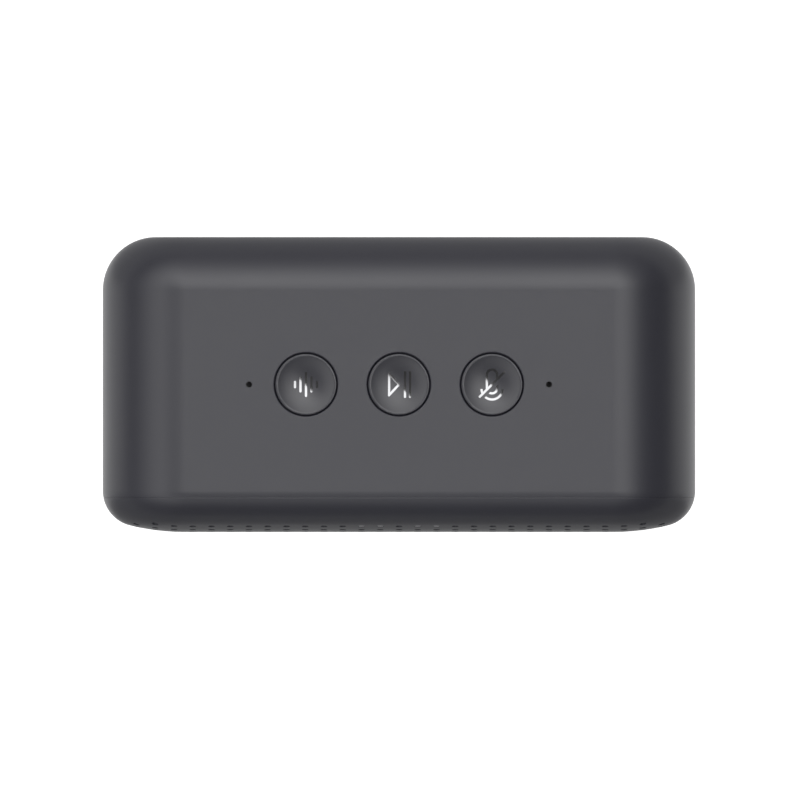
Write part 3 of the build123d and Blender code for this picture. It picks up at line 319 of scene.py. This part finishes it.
def woundWire(name, colour):
    finish = Finish(name, Metallic=1.0, Coat_Weight=0.5, Coat_Roughness=0.1)
    turns = finish.node(
        "ShaderNodeTexWave",
        {"wave_type": "BANDS", "bands_direction": "Y", "wave_profile": "SIN"},
        {"Vector": finish.place, "Scale": 1100.0, "Distortion": 0.4},
        out="Fac",
    )
    finish.set("Base Color", finish.mix(turns, shade(colour, 0.5), shade(colour, 1.1)))
    finish.set("Roughness", 0.3 + turns * 0.1)
    finish.bump(turns, 0.00003)
    return finish.material


def frostedClear(name, colour):
    finish = Finish(name, IOR=1.49, Transmission_Weight=0.25)
    fine = finish.noise(0.00012, 2.0)
    clouds = finish.noise(0.004, 2.0)
    finish.set("Base Color", finish.mix(clouds, shade(colour, 0.9), shade(colour, 1.1)))
    finish.set("Roughness", 0.42 + fine * 0.12)
    finish.bump(fine, 0.000006)
    return finish.material


def polishedInlay(name, colour):
    finish = Finish(name, Metallic=1.0)
    clouds = finish.noise(0.0015, 2.0)
    finish.set("Base Color", finish.mix(clouds, shade(colour, 0.94), shade(colour, 1.04)))
    finish.set("Roughness", 0.07 + clouds * 0.05)
    finish.bump(finish.noise(0.0006, 1.0), 0.0000015)
    return finish.material


finishes = {
    "shell": mouldedPlastic("shellPlastic", (0.0205, 0.0205, 0.0275), 0.40),
    "cap": mouldedPlastic("capPlastic", (0.0175, 0.0175, 0.0235), 0.32),
    "icon": polishedInlay("polishedInlay", (0.21, 0.21, 0.215)),
    "cloth": wovenCloth("grilleKnit", (0.012, 0.012, 0.013), 0.00042),
    "inner_plastic": mouldedPlastic("innerPlastic", (0.022, 0.022, 0.024), 0.55, grain=0.0005),
    "rubber": softRubber("blackRubber", (0.018, 0.018, 0.019)),
    "screw": platedMetal("zincScrew", (0.52, 0.52, 0.54), 0.35),
    "basket": mouldedPlastic("basketPaint", (0.02, 0.02, 0.021), 0.5, grain=0.0004, depth=0.00001),
    "steel": platedMetal("zincSteel", (0.6, 0.6, 0.61), 0.32, brushed=8.0),
    "magnet": softRubber("ferrite", (0.045, 0.045, 0.048), 0.6),
    "terminal": platedMetal("tinnedBrass", (0.75, 0.62, 0.36), 0.28),
    "surround": softRubber("surroundRubber", (0.016, 0.016, 0.017), 0.55),
    "spider": wovenCloth("stiffenedWeave", (0.6, 0.44, 0.2), 0.0006, sheen=0.0),
    "cone": pressedPulp("pulpCone", (0.035, 0.035, 0.037)),
    "former": platedMetal("formerFoil", (0.8, 0.8, 0.81), 0.3, brushed=6.0),
    "winding": woundWire("enamelledWire", (0.78, 0.36, 0.16)),
    "board": solderMask("greenSolderMask", (0.01, 0.075, 0.035)),
    "switch": mouldedPlastic("switchPlastic", (0.025, 0.025, 0.026), 0.5, grain=0.0003),
    "plunger": mouldedPlastic("plungerPlastic", (0.45, 0.45, 0.43), 0.45, grain=0.0003),
    "microphone": platedMetal("microphoneLid", (0.1, 0.1, 0.1), 0.45),
    "connector": mouldedPlastic("connectorPlastic", (0.7, 0.67, 0.58), 0.45, grain=0.0003),
    "ribbon": mouldedPlastic("ribbonFilm", (0.7, 0.72, 0.75), 0.3, grain=0.0006, mottle=0.1),
    "light_guide": frostedClear("frostedGuide", (0.30, 0.30, 0.31)),
    "led": mouldedPlastic("lightPhosphor", (0.8, 0.72, 0.3), 0.35, grain=0.0002),
    "shield": platedMetal("tinnedCan", (0.66, 0.66, 0.68), 0.3, brushed=5.0),
    "capacitor": platedMetal("capacitorSleeve", (0.7, 0.7, 0.72), 0.3),
    "antenna": platedMetal("copperFilm", (0.78, 0.42, 0.24), 0.3),
    "coax": softRubber("coaxJacket", (0.02, 0.02, 0.02), 0.5),
    "lead_red": softRubber("redJacket", (0.35, 0.02, 0.015), 0.45),
    "lead_black": softRubber("blackJacket", (0.02, 0.02, 0.02), 0.45),
}

for part in frame["record"]["subparts"]:
    target = nodes[part["node"]]
    target.data.materials.clear()
    target.data.materials.append(finishes[part["material_slot"]])

# ---- the body's form, which the shell, grille and cloth share
print("the body's form")
body = {
    "cornerRadius": 0.0165,
    "frontDepth": 0.00825,
    "frontRadius": 0.00715,
    "backRadius": 0.0106,
    "onSkin": 0.000012,  # how near the skin a corner counts as on it
}
shellLow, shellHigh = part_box("main_housing")
frontY, backY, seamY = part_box("front_grille")[0].y, shellHigh.y, shellLow.y
middleZ = (shellLow.z + shellHigh.z) / 2
cornerX = shellHigh.x - body["cornerRadius"]
cornerZ = (shellHigh.z - shellLow.z) / 2 - body["cornerRadius"]
frontOffset = body["cornerRadius"] - body["frontRadius"]
easeRadius = (frontOffset**2 + body["frontDepth"] ** 2 - body["frontRadius"] ** 2) / (
    2 * (body["frontDepth"] - body["frontRadius"])
)
easeAngle = math.atan2(easeRadius - body["frontDepth"], frontOffset)


def skinY(out, inset):
    # how far back the front skin lies at distance out from the inner rectangle
    small = body["frontRadius"] - inset
    meet = frontOffset + small * math.cos(easeAngle)
    gentle = frontY + easeRadius - np.sqrt((easeRadius - inset) ** 2 - np.minimum(out, meet) ** 2)
    reach = np.maximum(out, meet) - frontOffset
    tight = frontY + body["frontDepth"] - np.sqrt(np.maximum(small**2 - reach**2, 0))
    return np.where(out < meet, gentle, tight)


def outOf(points):
    # distance and direction from the inner rectangle, seen from the front
    across = points[:, 0] - np.clip(points[:, 0], -cornerX, cornerX)
    height = points[:, 2] - middleZ
    upward = height - np.clip(height, -cornerZ, cornerZ)
    out = np.hypot(across, upward)
    safe = np.maximum(out, 1e-9)
    return out, across / safe, upward / safe


def skinNormals(points):
    # the outer skin's normal beside each point, and how far the point is from the skin
    out, sideX, sideZ = outOf(points)
    y = points[:, 1]
    backStart = backY - body["backRadius"]
    frontEnd = frontY + body["frontDepth"]
    meet = frontOffset + body["frontRadius"] * math.cos(easeAngle)
    tail = y > backStart
    nose = (y < frontEnd) & (out < meet)
    bend = (y < frontEnd) & ~nose
    outward = np.where(tail, np.maximum(out - (body["cornerRadius"] - body["backRadius"]), 0), out)
    outward = np.where(bend, out - frontOffset, outward)
    along = np.where(tail, y - backStart, 0.0)
    along = np.where(nose, y - (frontY + easeRadius), along)
    along = np.where(bend, y - frontEnd, along)
    reach = np.hypot(outward, along)
    radius = np.where(tail, body["backRadius"], body["cornerRadius"])
    radius = np.where(nose, easeRadius, radius)
    radius = np.where(bend, body["frontRadius"], radius)
    safe = np.maximum(reach, 1e-9)
    normals = np.stack([sideX * outward / safe, along / safe, sideZ * outward / safe], 1)
    return normals, np.abs(reach - radius)


def smoothOn(mesh, normalsAt, near, crease=40):
    # smooth shading, with exact normals at the corners that lie on a known surface
    mesh.shade_smooth()
    mesh.set_sharp_from_angle(angle=math.radians(crease))
    points = np.zeros(len(mesh.vertices) * 3)
    mesh.vertices.foreach_get("co", points)
    exact, gap = normalsAt(points.reshape(-1, 3))
    corners = np.zeros(len(mesh.loops), int)
    mesh.loops.foreach_get("vertex_index", corners)
    given = np.zeros((len(corners), 3))
    for face in mesh.polygons:
        span = slice(face.loop_start, face.loop_start + face.loop_total)
        at = corners[span]
        if (gap[at] < near).all() and (exact[at] @ np.array(face.normal) > 0.9).all():
            given[span] = exact[at]
    mesh.normals_split_custom_set(given.tolist())


def meshOf(name, vertices, faces):
    mesh = bpy.data.meshes.new(name)
    mesh.from_pydata([tuple(map(float, v)) for v in vertices], [], faces)
    mesh.update()
    return mesh


def welded(mesh, within=0.000002, outwards=False):
    work = bmesh.new()
    work.from_mesh(mesh)
    bmesh.ops.remove_doubles(work, verts=work.verts, dist=within)
    bmesh.ops.dissolve_degenerate(work, edges=work.edges, dist=within / 4)
    if outwards:
        bmesh.ops.recalc_face_normals(work, faces=work.faces)
    work.to_mesh(mesh)
    work.free()
    mesh.update()
    return mesh


def settle(piece, bodyName, slot, replaced):
    # the piece joins the model: it rides on its body and takes its slot's finish
    scene.collection.objects.link(piece)
    piece.data.materials.clear()
    piece.data.materials.append(finishes[slot])
    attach(piece, bodyName)
    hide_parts(replaced)


def copyOf(node, name):
    # a welded copy of a CAD node, for exact shading
    return bpy.data.objects.new(name, welded(nodes[node].data.copy()))


# ---- housing
print("housing")
shell = copyOf("main_housing", "shellSkin")
smoothOn(shell.data, skinNormals, body["onSkin"])
settle(shell, "speaker", "shell", "main_housing")

# ---- front grille: one perforated cell, repeated by Geometry Nodes, then bent to the body's form
print("front grille")
grille = {
    "pitch": 0.00375,
    "holeRadius": 0.00065,
    "holeRim": 0.0001,
    "columns": 29,
    "rows": 19,
    "wall": 0.0016,
    "spokes": 16,  # points round a hole
    "weld": 0.000002,
    "seamEdge": 0.00012,  # rounding at the joint with the housing
    "lipInset": 0.0023,
    "lipThickness": 0.001,
    "lipLength": 0.0019,
    "bandLength": 0.001,
    "cornerSteps": 16,
    "longSteps": 24,
    "shortSteps": 13,
    "clearOfPlate": 0.0005,  # between the plate and the border's own points
    "flatAngle": 74,  # of the tight bend, counted from its side, where the border's points start
    "outerAngle": 44,  # where the outer border ends
    "innerAngle": 18,  # where the inner border ends
    "nearSeam": 1.2,  # degrees left for the rounding at the joint
    "borderRings": 7,
    "bendSteps": 8,
}
plateX = grille["columns"] * grille["pitch"] / 2
plateZ = grille["rows"] * grille["pitch"] / 2


def holeCell():
    # a square tile with a hole: X and Y across, Z is minus the depth below the outer skin
    half, spokes = grille["pitch"] / 2, grille["spokes"]
    rings = []
    for radius, depth in (
        (None, 0),
        (grille["holeRadius"] + grille["holeRim"], 0),
        (grille["holeRadius"], grille["holeRim"]),
        (grille["holeRadius"], grille["wall"]),
        (None, grille["wall"]),
    ):
        ring = []
        for k in range(spokes):
            turn = 2 * math.pi * k / spokes
            x, y = math.cos(turn), math.sin(turn)
            size = half / max(abs(x), abs(y)) if radius is None else radius
            ring.append((x * size, y * size, -depth))
        rings.append(ring)
    faces = []
    for row in range(len(rings) - 1):
        for k in range(spokes):
            after = (k + 1) % spokes
            a, b = row * spokes, (row + 1) * spokes
            faces.append((a + k, a + after, b + after, b + k))
    return meshOf("holeCell", [v for ring in rings for v in ring], faces)


def perforationTree():
    tree = bpy.data.node_groups.new("perforations", "GeometryNodeTree")
    face = tree.interface
    face.new_socket("Geometry", in_out="INPUT", socket_type="NodeSocketGeometry")
    face.new_socket("Geometry", in_out="OUTPUT", socket_type="NodeSocketGeometry")
    kinds = {"Cell": "Object", "Pitch": "Float", "Columns": "Int", "Rows": "Int", "Finish": "Material"}
    for name, kind in kinds.items():
        face.new_socket(name, in_out="INPUT", socket_type=f"NodeSocket{kind}")
    sheet = Nodes(tree)
    given = sheet.tree.nodes.new("NodeGroupInput").outputs
    pitch, columns, rows = (Field(sheet, given[name]) for name in ("Pitch", "Columns", "Rows"))
    width, height = (columns - 1) * pitch, (rows - 1) * pitch
    grid = sheet.node("GeometryNodeMeshGrid", None, {0: width, 1: height, 2: columns, 3: rows})
    # the four corner cells stay plain
    position = sheet.node("GeometryNodeInputPosition")
    blank = 1.0
    for axis, size in (("X", width), ("Y", height)):
        along = sheet.node("ShaderNodeSeparateXYZ", None, {0: position}, out=axis)
        reach = along.math("ABSOLUTE", along, 0.0)
        blank = reach.math("GREATER_THAN", reach, (size - pitch) * 0.5) * blank
    kept = sheet.node("GeometryNodeDeleteGeometry", {"domain": "POINT"}, {0: grid, 1: blank})
    cell = sheet.node("GeometryNodeObjectInfo", None, {0: Field(sheet, given["Cell"])}, out="Geometry")
    placed = sheet.node("GeometryNodeInstanceOnPoints", None, {"Points": kept, "Instance": cell})
    real = sheet.node("GeometryNodeRealizeInstances", None, {0: placed})
    joining = {"Geometry": real, "Distance": grille["weld"]}
    joined = sheet.node("GeometryNodeMergeByDistance", None, joining)
    dressing = {"Geometry": joined, "Material": Field(sheet, given["Finish"])}
    dressed = sheet.node("GeometryNodeSetMaterial", None, dressing)
    sheet.feed(tree.nodes.new("NodeGroupOutput").inputs[0], dressed)
    return tree


def grownPlate():
    # the flat perforated plate, as a plain mesh
    cell = bpy.data.objects.new("holeCell", holeCell())
    scene.collection.objects.link(cell)
    maker = bpy.data.objects.new("plateMaker", bpy.data.meshes.new("plateMaker"))
    scene.collection.objects.link(maker)
    modifier = maker.modifiers.new("perforations", "NODES")
    modifier.node_group = perforationTree()
    values = {
        "Cell": cell,
        "Pitch": grille["pitch"],
        "Columns": grille["columns"],
        "Rows": grille["rows"],
        "Finish": finishes["shell"],
    }
    for item in modifier.node_group.interface.items_tree:
        if item.in_out == "INPUT" and item.name in values:
            modifier[item.identifier] = values[item.name]
    bpy.context.view_layer.update()
    made = maker.evaluated_get(bpy.context.evaluated_depsgraph_get())
    plate = bpy.data.meshes.new_from_object(made)
    for helper in (maker, cell):
        bpy.data.objects.remove(helper)
    return plate


def outline(out):
    # once round the body at distance out from the inner rectangle, as (x, z) from the middle
    points = []
    steps = grille["cornerSteps"]
    turns = ((1, 1), (-1, 1), (-1, -1), (1, -1))
    for quarter, (sideX, sideZ) in enumerate(turns):
        for step in range(steps + 1):
            turn = math.pi / 2 * (quarter + step / steps)
            x = sideX * cornerX + out * math.cos(turn)
            points.append((x, sideZ * cornerZ + out * math.sin(turn)))
        nextX, nextZ = turns[(quarter + 1) % 4]
        turn = math.pi / 2 * (quarter + 1)
        end = (nextX * cornerX + out * math.cos(turn), nextZ * cornerZ + out * math.sin(turn))
        start = points[-1]
        count = grille["shortSteps"] if quarter % 2 else grille["longSteps"]
        for step in range(1, count):
            share = step / count
            points.append(tuple(a + (b - a) * share for a, b in zip(start, end)))
    return points


def inPlate(x, z, margin=0.0):
    overX, overZ = abs(x) - plateX - margin, abs(z) - plateZ - margin
    blank = overX > -grille["pitch"] and overZ > -grille["pitch"]
    return overX < 0 and overZ < 0 and not blank


def filled(edges, spots, keep):
    # triangles over a flat zone given by edges, through the spots
    points = [Vector(p) for edge in edges for p in edge] + [Vector(p) for p in spots]
    pairs = [(2 * k, 2 * k + 1) for k in range(len(edges))]
    flat, _, faces = geometry.delaunay_2d_cdt(points, pairs, [], 0, 1e-7)[:3]
    kept = []
    for face in faces:
        x, z = (sum(flat[k][axis] for k in face) / len(face) for axis in (0, 1))
        if keep(x, z):
            kept.append(tuple(face))
    return flat, kept


def loopEdges(points):
    return list(zip(points, points[1:] + points[:1]))


def bendSkin(flat, inset):
    # puts flat (x, z) points on the front skin at that inset
    flat = np.array([tuple(p) for p in flat])
    points = np.stack([flat[:, 0], np.zeros(len(flat)), flat[:, 1] + middleZ], 1)
    points[:, 1] = skinY(outOf(points)[0], inset)
    return points


def ring(out, y):
    return [(x, y, z + middleZ) for x, z in outline(out)]


def bendPlace(angle, inset):
    # a ring on the tight bend, as its distance out and y
    small, turn = body["frontRadius"] - inset, math.radians(angle)
    return frontOffset + small * math.cos(turn), frontY + body["frontDepth"] - small * math.sin(turn)


def bendPlaces(first, last, steps, inset):
    return [bendPlace(first + (last - first) * step / steps, inset) for step in range(steps + 1)]


def borderOf(plate, inset, angle):
    # the zone between the perforated plate and the ring at that angle of the bend
    edgeUse = {}
    for face in plate.polygons:
        for key in face.edge_keys:
            edgeUse[key] = edgeUse.get(key, 0) + 1
    edges = []
    for (a, b), uses in edgeUse.items():
        first, second = plate.vertices[a].co, plate.vertices[b].co
        if uses == 1 and abs(first.z + inset) < 1e-6 and abs(second.z + inset) < 1e-6:
            edges.append((first.to_2d(), second.to_2d()))
    outer = outline(bendPlace(angle, inset)[0])
    spots = []
    for out, _ in bendPlaces(grille["flatAngle"], angle, grille["borderRings"], inset)[:-1]:
        spots += [p for p in outline(out) if not inPlate(*p, margin=grille["clearOfPlate"])]
    flat, faces = filled(edges + loopEdges(outer), spots, lambda x, z: not inPlate(x, z))
    return bendSkin(flat, inset), faces


def makeGrille():
    plate = grownPlate()
    points = np.array([tuple(v.co) for v in plate.vertices])
    bent = bendSkin(points[:, :2], 0)
    bent[:, 1] -= points[:, 2]
    inner = points[:, 2] < -grille["wall"] / 2
    bent[inner] = bendSkin(points[inner][:, :2], grille["wall"])
    vertices = [tuple(p) for p in bent]
    faces = [tuple(face.vertices) for face in plate.polygons]

    def addPart(more, moreFaces):
        start = len(vertices)
        vertices.extend(tuple(p) for p in more)
        faces.extend(tuple(start + k for k in face) for face in moreFaces)

    wall, edge = grille["wall"], grille["seamEdge"]
    addPart(*borderOf(plate, 0, grille["outerAngle"]))
    addPart(*borderOf(plate, wall, grille["innerAngle"]))
    seamAngle = math.degrees(math.asin((frontY + body["frontDepth"] - seamY) / body["frontRadius"]))
    rings = bendPlaces(grille["outerAngle"], seamAngle + grille["nearSeam"], grille["bendSteps"], 0)
    # the rounding at the joint, then the lip that enters the housing
    outEnd = rings[-1][0]
    rings += [(outEnd + edge * 0.02, seamY - edge * 0.5), (outEnd - edge * 0.25, seamY - edge * 0.12)]
    rings.append((outEnd - edge, seamY))
    lip = body["cornerRadius"] - grille["lipInset"]
    inside = lip - grille["lipThickness"]
    rings += [(lip, seamY), (lip, seamY + grille["lipLength"])]
    rings += [(inside, seamY + grille["lipLength"]), (inside, seamY - grille["bandLength"])]
    rings.append(bendPlace(grille["innerAngle"], wall))
    count = len(outline(0.01))
    strips = []
    for row in range(len(rings) - 1):
        for k in range(count):
            after = (k + 1) % count
            a, b = row * count, (row + 1) * count
            strips.append((a + k, b + k, b + after, a + after))
    addPart([p for out, y in rings for p in ring(out, y)], strips)
    mesh = welded(meshOf("grilleSkin", vertices, faces), within=0.000003, outwards=True)
    smoothOn(mesh, skinNormals, body["onSkin"])
    return bpy.data.objects.new("grilleSkin", mesh)


grilleSkin = makeGrille()
settle(grilleSkin, "speaker", "shell", "front_grille")

# ---- cloth stretched behind the perforations
print("cloth")
cloth = {
    "gap": 0.00005,
    "thickness": 0.0003,
    "margin": 0.00085,  # past the outermost holes' middles
    "corner": 0.005,
    "cornerSteps": 8,
    "spots": 0.0018,  # spacing of its points
    "clearOfRim": 0.0006,
    "crease": 50,
    "measureSteps": 60,
}


def makeCloth():
    halfX = (grille["columns"] - 1) / 2 * grille["pitch"] + cloth["margin"]
    halfZ = (grille["rows"] - 1) / 2 * grille["pitch"] + cloth["margin"]
    corner = cloth["corner"]
    rim = []
    for quarter, (sideX, sideZ) in enumerate(((1, 1), (-1, 1), (-1, -1), (1, -1))):
        for step in range(cloth["cornerSteps"] + 1):
            turn = math.pi / 2 * (quarter + step / cloth["cornerSteps"])
            x = sideX * (halfX - corner) + corner * math.cos(turn)
            rim.append((x, sideZ * (halfZ - corner) + corner * math.sin(turn)))
    dense = []
    for (ax, az), (bx, bz) in loopEdges(rim):
        count = max(1, round(math.hypot(bx - ax, bz - az) / cloth["spots"]))
        dense += [(ax + (bx - ax) * k / count, az + (bz - az) * k / count) for k in range(count)]

    def inside(x, z, margin=0.0):
        overX = max(abs(x) - (halfX - corner), 0)
        overZ = max(abs(z) - (halfZ - corner), 0)
        return math.hypot(overX, overZ) < corner - margin

    across = int(halfX / cloth["spots"])
    upward = int(halfZ / cloth["spots"])
    spots = [
        (i * cloth["spots"], k * cloth["spots"])
        for i in range(-across, across + 1)
        for k in range(-upward, upward + 1)
        if inside(i * cloth["spots"], k * cloth["spots"], margin=cloth["clearOfRim"])
    ]
    flat, faces = filled(loopEdges(dense), spots, lambda x, z: inside(x, z, margin=-0.0001))
    inset = grille["wall"] + cloth["gap"]
    near = bendSkin(flat, inset)
    far = bendSkin(flat, inset + cloth["thickness"])
    count = len(flat)
    vertices = list(near) + list(far)
    every = faces + [tuple(count + k for k in reversed(face)) for face in faces]
    sides = [side for face in faces for side in zip(face, face[1:] + face[:1])]
    closed = set(sides)
    every += [(b, a, count + a, count + b) for a, b in sides if (b, a) not in closed]
    mesh = welded(meshOf("grilleCloth", vertices, every), within=0.000001, outwards=True)
    mesh.shade_smooth()
    mesh.set_sharp_from_angle(angle=math.radians(cloth["crease"]))
    area = 0.0
    for face in faces:
        a, b, c = (Vector(near[k]) for k in face[:3])
        area += (b - a).cross(c - a).length / 2
    return bpy.data.objects.new("grilleCloth", mesh), area, halfX, halfZ


def skinLength(half, corner):
    # along the cloth from its middle to its edge
    steps = np.linspace(corner, half, cloth["measureSteps"]) - corner
    y = skinY(steps, grille["wall"] + cloth["gap"])
    return corner + float(np.hypot(np.diff(steps), np.diff(y)).sum())


clothSheet, clothArea, clothX, clothZ = makeCloth()
settle(clothSheet, "speaker", "cloth", "grille_cloth")
flatSize = (2 * skinLength(clothX, cornerX), 2 * skinLength(clothZ, cornerZ))
min(clothArea, flatSize[0] * flatSize[1])

# ---- buttons: caps and inlays shaded as the dished sphere that they share
print("buttons")
button = {
    "dishRadius": 0.0056,
    "dishDepth": 0.0009,
    "onDish": 0.000012,  # how near the dish a corner counts as on it
    "radius": 0.0061,
    "edge": 0.00035,  # how near the radius a corner counts as on the cap's wall
    "swell": 0.0001,
    "swollen": 0.002,  # from the top down
}
dishSphere = (button["dishRadius"] ** 2 + button["dishDepth"] ** 2) / (2 * button["dishDepth"])


def dishNormals(middleX, lowZ):
    # normals of the sphere that hollows a cap, whose lowest point is at lowZ
    def normalsAt(points):
        toCentre = np.array([middleX, 0, lowZ + dishSphere]) - points
        reach = np.linalg.norm(toCentre, axis=1)
        return toCentre / reach[:, None], np.abs(reach - dishSphere)
    return normalsAt


def swellCap(mesh, middleX, fromZ):
    # the cap's wall above fromZ moves out, which leaves a finer gap round it
    for vertex in mesh.vertices:
        out = Vector((vertex.co.x - middleX, vertex.co.y, 0))
        if vertex.co.z > fromZ and abs(out.length - button["radius"]) < button["edge"]:
            vertex.co += out.normalized() * button["swell"]


for name in ("assistant", "play", "mute"):
    low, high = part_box(f"{name}_button_cap")
    middleX = (low.x + high.x) / 2
    dish = dishNormals(middleX, high.z - button["dishDepth"])
    cap = copyOf(f"{name}_button_cap", f"{name}Cap")
    swellCap(cap.data, middleX, high.z - button["swollen"])
    smoothOn(cap.data, dish, button["onDish"])
    settle(cap, f"{name}_button", "cap", f"{name}_button_cap")
    inlay = copyOf(f"{name}_button_icon", f"{name}Inlay")
    smoothOn(inlay.data, dish, button["onDish"])
    settle(inlay, f"{name}_button", "icon", f"{name}_button_icon")
